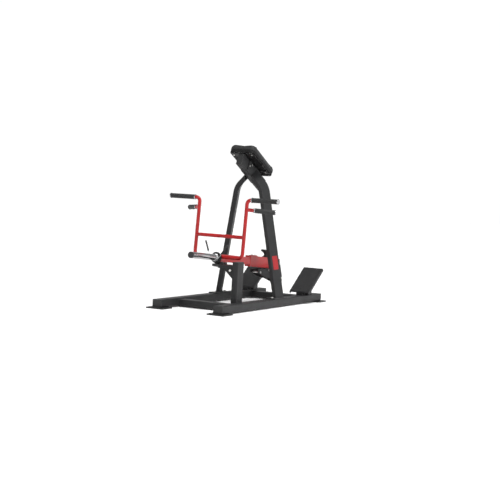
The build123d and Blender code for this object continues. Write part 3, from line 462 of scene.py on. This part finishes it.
def frame_welds():
    """Beads where the frame's tubes and plates meet."""
    loops = []
    for side, leg in ((1, "right_leg"), (-1, "left_leg")):
        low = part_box(leg)[0][2]
        foot = [v.co for v in frame["nodes"][leg].data.vertices if v.co.z < low + 0.001]
        mid = sum(foot, Vector()) / len(foot)
        turn = math.radians(LEG_TURN) * side
        u = Vector((math.cos(turn), -math.sin(turn), 0))
        v = Vector((math.sin(turn), math.cos(turn), 0))
        centre = Vector((mid.x, mid.y, low + 0.001))
        loops.append((rounded_loop(centre, u, v, 0.0212, 0.0458, 0.007), True))
    for bar in ("front_crossbar", "rear_crossbar"):
        low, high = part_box(bar)
        mid = Vector((0, (low[1] + high[1]) / 2, (low[2] + high[2]) / 2))
        for end in (low[0], high[0]):
            inward = 0.0012 if end < 0 else -0.0012
            centre = Vector((end + inward, mid.y, mid.z))
            loops.append(tube_loop(centre, Y, Z, (high[1] - low[1]) / 2, (high[2] - low[2]) / 2))
    low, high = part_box("rest_post")
    post_back = high[1]
    for y in (low[1] + 0.003, post_back - 0.003):
        loops.append(seam(high[0] - 0.001, (y, low[2] + 0.004), (y, 0.068)))
    low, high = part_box("rest_shelf")
    for z in (low[2], high[2]):
        loops.append(seam(high[0] - 0.001, (low[1] + 0.006, z), (post_back - 0.006, z)))
    low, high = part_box("shelf_gusset")
    loops.append(seam(high[0] - 0.001, (high[1], low[2] + 0.004), (high[1], high[2] - 0.004)))
    low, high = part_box("pivot_column")
    centre = Vector((0, (low[1] + high[1]) / 2, low[2] + 0.001))
    loops.append(tube_loop(centre, X, Y, (high[0] - low[0]) / 2, (high[1] - low[1]) / 2))
    low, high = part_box("foot_supports")
    for side in (-1, 1):
        centre = Vector((side * (high[0] - 0.030), (low[1] + high[1]) / 2, low[2] + 0.001))
        loops.append(tube_loop(centre, X, Y, 0.030, (high[1] - low[1]) / 2))
    weld("frame_weld_beads", loops, "frame", "frame_paint", BEAD_RADIUS)


def arm_welds():
    """Beads on the lever arm and its handle frame."""
    loops = []
    deep = Tilted("arm_rear_beam", ARM_TILT)
    slim = Tilted("arm_front_beam", ARM_TILT)
    tubes = Tilted("handle_frame_tubes", ARM_TILT)
    cross = Tilted("handle_frame_crossbar", ARM_TILT)
    yy, zz = deep.world(0, 1, 0), deep.world(0, 0, 1)
    mid_z = (slim.low.z + slim.high.z) / 2
    half_z = (slim.high.z - slim.low.z) / 2
    for y in (slim.high.y - 0.0008, slim.low.y + 0.0012):
        loops.append(tube_loop(deep.world(0, y, mid_z), X, zz, 0.0252, half_z))
    plane_y = (cross.low.y + cross.high.y) / 2
    low_z = tubes.low.z + HANDLE_RADIUS
    cross_z = (cross.low.z + cross.high.z) / 2
    for side in (-1, 1):
        centre = deep.world(side * 0.0262, plane_y, low_z)
        loops.append((circle_loop(centre, yy, zz, SADDLE_RADIUS), True))
        post = side * (cross.high.x + 0.003)
        saddle = []
        for k in range(48):
            a = 2 * math.pi * k / 48
            dy, dz = SADDLE_RADIUS * math.cos(a), SADDLE_RADIUS * math.sin(a)
            out = math.sqrt(max(HANDLE_RADIUS ** 2 - dy ** 2, 0.0))
            saddle.append(deep.world(post - side * (out - 0.0035), plane_y + dy, cross_z + dz))
        loops.append((saddle, True))
    weld("arm_weld_beads", loops, "lever_arm", "arm_paint", ARM_BEAD_RADIUS)


# ------------------------------------------------------------ chest pad
def outline(half_w, half_l, corner, count):
    """Closed rounded rectangle with evenly spread points, in pad plane coordinates."""
    raw = rounded_loop(Vector((0, 0, 0)), X, Y, half_w, half_l, corner, 14)
    return resample(raw, (2 * (half_w + half_l) * 2) / count, True)


def cushion_mesh(pad):
    """Boxed cushion: flat back, bulging side panel, crowned face pulled in at the seams."""
    half_w = (pad.high.x - pad.low.x) / 2 - 0.004
    half_l = (pad.high.y - pad.low.y) / 2 - 0.004
    thick = pad.high.z - pad.low.z
    mid_y = (pad.high.y + pad.low.y) / 2
    rings = [(-0.0100, 0.0), (-0.0015, 0.0015), (0.0018, 0.10), (0.0030, 0.28), (0.0026, 0.48),
             (0.0004, 0.66), (-0.0035, 0.76)]
    profile = [(inset, level * thick if level > 0.01 else level) for inset, level in rings]
    for k in range(1, 9):
        t = k / 8
        profile.append((-0.0035 - 0.105 * t, thick * (0.76 + 0.20 * math.sin(t * math.pi / 2) ** 0.75)))
    base = outline(half_w, half_l, PAD_CORNER, 220)
    verts, faces = [], []
    for inset, level in profile:
        for p in base:
            sx = (half_w + inset) / half_w
            sy = (half_l + inset) / half_l
            verts.append(pad.world(p.x * sx, mid_y + p.y * sy, pad.low.z + level))
    count = len(base)
    for r in range(len(profile) - 1):
        for k in range(count):
            n = (k + 1) % count
            faces.append((r * count + k, r * count + n, (r + 1) * count + n, (r + 1) * count + k))
    faces.append(tuple(range(count))[::-1])
    top = (len(profile) - 1) * count
    faces.append(tuple(top + k for k in range(count)))
    return verts, faces


def puff(obj, pad, frames=20, cap=0.007):
    """Blow the foam up a little with cloth pressure, holding the back against its board."""
    modifier = obj.modifiers.new("remesh", "REMESH")
    modifier.mode = "VOXEL"
    modifier.voxel_size = 0.0045
    bpy.context.view_layer.objects.active = obj
    with bpy.context.temp_override(object=obj, active_object=obj):
        bpy.ops.object.modifier_apply(modifier=modifier.name)
    back = pad.turn.transposed()
    start = [v.co.copy() for v in obj.data.vertices]
    group = obj.vertex_groups.new(name="held")
    held = [v.index for v in obj.data.vertices if (back @ v.co).z < pad.low.z + 0.006]
    group.add(held, 1.0, "REPLACE")
    cloth = obj.modifiers.new("cloth", "CLOTH")
    settings = cloth.settings
    settings.use_pressure = True
    settings.uniform_pressure_force = 4.0
    settings.vertex_group_mass = "held"
    settings.effector_weights.gravity = 0.0
    settings.quality = 6
    settings.tension_stiffness = 30
    settings.bending_stiffness = 2.0
    scene = bpy.context.scene
    for number in range(1, frames + 1):
        scene.frame_set(number)
    depsgraph = bpy.context.evaluated_depsgraph_get()
    blown = [v.co.copy() for v in obj.evaluated_get(depsgraph).data.vertices]
    obj.modifiers.remove(cloth)
    scene.frame_set(1)
    for vertex, a, b in zip(obj.data.vertices, start, blown):
        move = b - a
        if move.length > cap:
            move = move.normalized() * cap
        vertex.co = a + move
    obj.data.update()
    obj.vertex_groups.clear()


def keep_inside(obj, pad, spare):
    """Hold the cushion in the CAD pad's own space."""
    back = pad.turn.transposed()
    for vertex in obj.data.vertices:
        p = back @ vertex.co
        p.x = min(max(p.x, pad.low.x - spare), pad.high.x + spare)
        p.y = min(max(p.y, pad.low.y - spare), pad.high.y + spare)
        p.z = min(max(p.z, pad.low.z), pad.high.z)
        vertex.co = pad.turn @ p
    obj.data.update()


def laid_on(tree, path, sink):
    """Moves a closed path in to the cushion's side, so that a tube along it lies on the cover."""
    middle = sum(path, Vector()) / len(path)
    laid = []
    for p in path:
        inward = (middle - p).normalized()
        hit = tree.ray_cast(p - inward * 0.03, inward, 0.1)[0]
        gap = (hit - p).dot(inward) if hit else 0.0
        laid.append(p + inward * (gap + sink) if gap > 0 else p)
    return laid


def chest_pad():
    """The upholstered cushion with its piping and stitching."""
    pad = Tilted("chest_pad", PAD_TILT)
    verts, faces = cushion_mesh(pad)
    cushion = mesh_piece("chest_cushion", verts, faces, "frame", M["pad_cover"])
    puff(cushion, pad)
    keep_inside(cushion, pad, 0.001)
    smooth = cushion.modifiers.new("soften", "SMOOTH")
    smooth.factor = 0.5
    smooth.iterations = 4
    cushion.modifiers.new("refine", "SUBSURF").render_levels = 1
    for poly in cushion.data.polygons:
        poly.use_smooth = True
    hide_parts("chest_pad")
    trim(pad, BVHTree.FromObject(cushion, bpy.context.evaluated_depsgraph_get()))


def trim(pad, tree):
    """Piping and stitches round the cushion, laid on its side."""
    thick = pad.high.z - pad.low.z
    mid_y = (pad.high.y + pad.low.y) / 2
    half_w = (pad.high.x - pad.low.x) / 2
    half_l = (pad.high.y - pad.low.y) / 2

    def side_path(level, inset, count, sink):
        line = outline(half_w - inset, half_l - inset, PAD_CORNER, count)
        path = [pad.world(p.x, mid_y + p.y, pad.low.z + level * thick) for p in line]
        return laid_on(tree, path, sink)

    verts, faces = [], []
    for level in (0.765, 0.035):
        add_tube(verts, faces, side_path(level, 0.0045, 320, 0.001), PIPING_RADIUS, 10, True)
    mesh_piece("pad_piping", verts, faces, "frame", M["pad_board"])
    verts, faces = [], []
    for level, inset in ((0.70, 0.0006), (0.105, 0.0010)):
        path = side_path(level, inset, 260, -0.0002)
        for k in range(0, len(path), 2):
            a, b = path[k], path[(k + 1) % len(path)]
            stitch = [a.lerp(b, t) for t in (0.0, 0.25, 0.5, 0.75, 1.0)]
            add_tube(verts, faces, stitch, THREAD_RADIUS, 6, False)
    mesh_piece("pad_stitches", verts, faces, "frame", M["thread"])


def board_staples():
    """Wire staples that hold the cover round the back of the board."""
    board = Tilted("pad_board", PAD_TILT)
    mid_y = (board.high.y + board.low.y) / 2
    half_w = (board.high.x - board.low.x) / 2 - STAPLE_MARGIN
    half_l = (board.high.y - board.low.y) / 2 - STAPLE_MARGIN
    line = outline(half_w, half_l, BOARD_CORNER, 64)
    leg, crown = board.low.z + 0.0005, board.low.z - 0.0007
    verts, faces = [], []
    for k, p in enumerate(line):
        q = line[(k + 1) % len(line)]
        way = (q - p).normalized()
        a, b = p - way * STAPLE_HALF, p + way * STAPLE_HALF
        corners = ((a, leg), (a, crown), (b, crown), (b, leg))
        path = [board.world(c.x, mid_y + c.y, level) for c, level in corners]
        add_tube(verts, faces, path, STAPLE_RADIUS, 6, False)
    mesh_piece("board_staples", verts, faces, "frame", M["steel"])


# ------------------------------------------------------------ lights, floor, camera
def area(name, place, target, size, power):
    """Rectangular light that faces a target."""
    light = bpy.data.lights.new(name, "AREA")
    light.shape = "RECTANGLE"
    light.size, light.size_y = size
    light.energy = power
    obj = bpy.data.objects.new(name, light)
    obj.location = place
    obj.rotation_euler = (Vector(target) - Vector(place)).to_track_quat("-Z", "Y").to_euler()
    bpy.context.scene.collection.objects.link(obj)


def studio():
    """Pale floor, white surroundings, a wide overhead light and a soft key light."""
    mat, bsdf, add, link = shader("studio_floor")
    coords = add("ShaderNodeTexCoord")
    clouds = noise(add, link, coords, 3.0, 3.0)
    shade = ramp(add, link, clouds, [(0.2, (0.90, 0.90, 0.90)), (0.8, (0.93, 0.93, 0.93))])
    link(shade, bsdf.inputs["Base Color"])
    bsdf.inputs["Roughness"].default_value = 0.75
    mesh = bpy.data.meshes.new("studio_floor")
    corners = [(x * FLOOR_HALF, y * FLOOR_HALF, 0) for x, y in ((-1, -1), (1, -1), (1, 1), (-1, 1))]
    mesh.from_pydata(corners, [], [(0, 1, 2, 3)])
    mesh.materials.append(mat)
    floor = bpy.data.objects.new("studio_floor", mesh)
    bpy.context.scene.collection.objects.link(floor)
    world = bpy.data.worlds.new("studio_world")
    bpy.context.scene.world = world
    world.use_nodes = True
    tree = world.node_tree
    coords = tree.nodes.new("ShaderNodeTexCoord")
    split = tree.nodes.new("ShaderNodeSeparateXYZ")
    fade = tree.nodes.new("ShaderNodeMapRange")
    fade.inputs["From Min"].default_value = 0.22
    fade.inputs["From Max"].default_value = 0.42
    fade.inputs["To Min"].default_value = 1.02
    fade.inputs["To Max"].default_value = 0.30
    tree.links.new(coords.outputs["Generated"], split.inputs["Vector"])
    tree.links.new(split.outputs["Z"], fade.inputs["Value"])
    tree.links.new(fade.outputs["Result"], tree.nodes["Background"].inputs["Strength"])
    tree.nodes["Background"].inputs["Color"].default_value = (1, 1, 1, 1)
    lamp = bpy.data.lights.new("overhead", "SUN")
    lamp.energy = 3.1
    lamp.angle = math.radians(38)
    sun = bpy.data.objects.new("overhead", lamp)
    sun.rotation_euler = Vector((-0.22, 0.16, -1.0)).to_track_quat("-Z", "Y").to_euler()
    bpy.context.scene.collection.objects.link(sun)
    area("key", (4.4, -1.2, 2.6), (0, 0, 0.6), (2.4, 2.4), 95)


def camera():
    """Long lens from the weight end, to the side that carries the rest post."""
    lens = bpy.data.cameras.new("camera")
    lens.sensor_width = 36.0
    lens.lens = CAMERA_LENS
    obj = bpy.data.objects.new("camera", lens)
    bpy.context.scene.collection.objects.link(obj)
    ahead = Vector(CAMERA_AHEAD).normalized()
    right = ahead.cross(Z).normalized()
    up = right.cross(ahead)
    c, s = math.cos(math.radians(CAMERA_ROLL)), math.sin(math.radians(CAMERA_ROLL))
    turn = Matrix((right * c + up * s, up * c - right * s, -ahead)).transposed().to_4x4()
    obj.matrix_world = Matrix.Translation(CAMERA_PLACE) @ turn
    bpy.context.scene.camera = obj
    bpy.context.scene.view_settings.view_transform = "Standard"


camera()
studio()
chest_pad()
board_staples()
frame_welds()
arm_welds()
